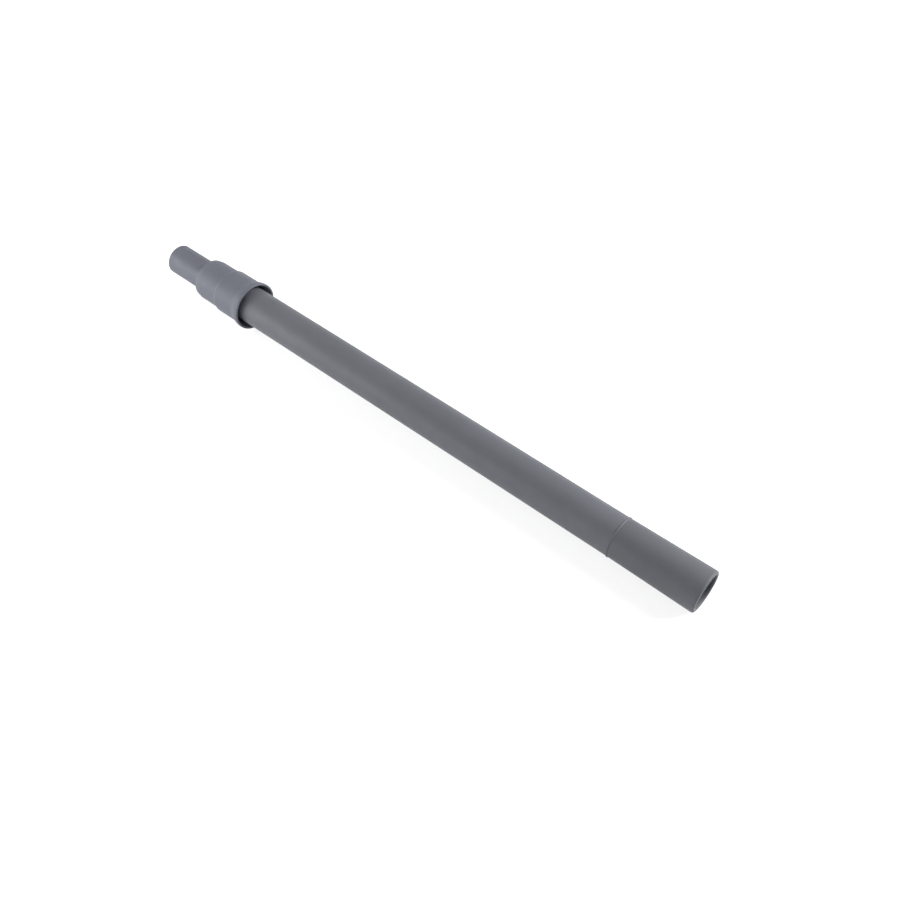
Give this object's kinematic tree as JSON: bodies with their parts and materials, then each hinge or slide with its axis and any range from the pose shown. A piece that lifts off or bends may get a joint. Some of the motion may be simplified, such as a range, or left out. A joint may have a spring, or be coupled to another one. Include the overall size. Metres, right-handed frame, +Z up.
{
  "type": "vacuum extension wand",
  "caption": "Telescopic vacuum cleaner extension wand: grey plastic tube with a push-fit socket cuff, a twist-lock collar with a flared skirt, and a sliding inner tube that ends in a plain spigot.",
  "frame": {"origin": "on the ground under the middle of the wand's length, with the wand lying on its collar's rim and its cuff", "axes": "+X from the spigot towards the socket's mouth, along the ground; +Z up. The wand's own axis dips 0.61 degrees towards the mouth, because the rim is wider than the cuff"},
  "size_m": [0.6564, 0.0512, 0.0512],
  "materials": {
    "tube_plastic": "satin, very fine grain",
    "cuff_plastic": "satin, very fine grain",
    "collar_plastic": "satin, very fine grain",
    "spigot_plastic": "satin, very fine grain",
    "nylon": "natural, slightly waxy",
    "seal_rubber": "matt",
    "felt": "pressed wool felt"
  },
  "bodies": {
    "wand": {"outer_tube": "tube_plastic", "end_cuff": "cuff_plastic", "gland_bush": "nylon", "gland_seal": "seal_rubber"},
    "clamp": {"collet": "nylon"},
    "collar": {"lock_collar": "collar_plastic"},
    "guide": {"rear_guide": "nylon", "guide_seal": "felt"},
    "inner": {"inner_tube": "spigot_plastic"}
  },
  "joints": [
    {"name": "clamp_travel", "type": "slide", "parent": "wand", "child": "clamp", "axis": [-0.9999, 0, 0.0107], "range_m": [0, 0.001]},
    {"name": "collar_twist", "type": "hinge", "parent": "clamp", "child": "collar", "pos_m": [-0.277, 0, 0.02634], "axis": [-0.9999, 0, 0.0107], "range_deg": [0, 121]},
    {"name": "wand_extend", "type": "slide", "parent": "wand", "child": "guide", "axis": [-0.9999, 0, 0.0107], "range_m": [0, 0.409]},
    {"name": "inner_turn", "type": "hinge", "parent": "guide", "child": "inner", "pos_m": [-0.277, 0, 0.02634], "axis": [-0.9999, 0, 0.0107], "continuous": true}
  ],
  "couplings": [
    {"joint": "collar_twist", "follows": "clamp_travel", "rad_per_m": 2094.4}
  ]
}
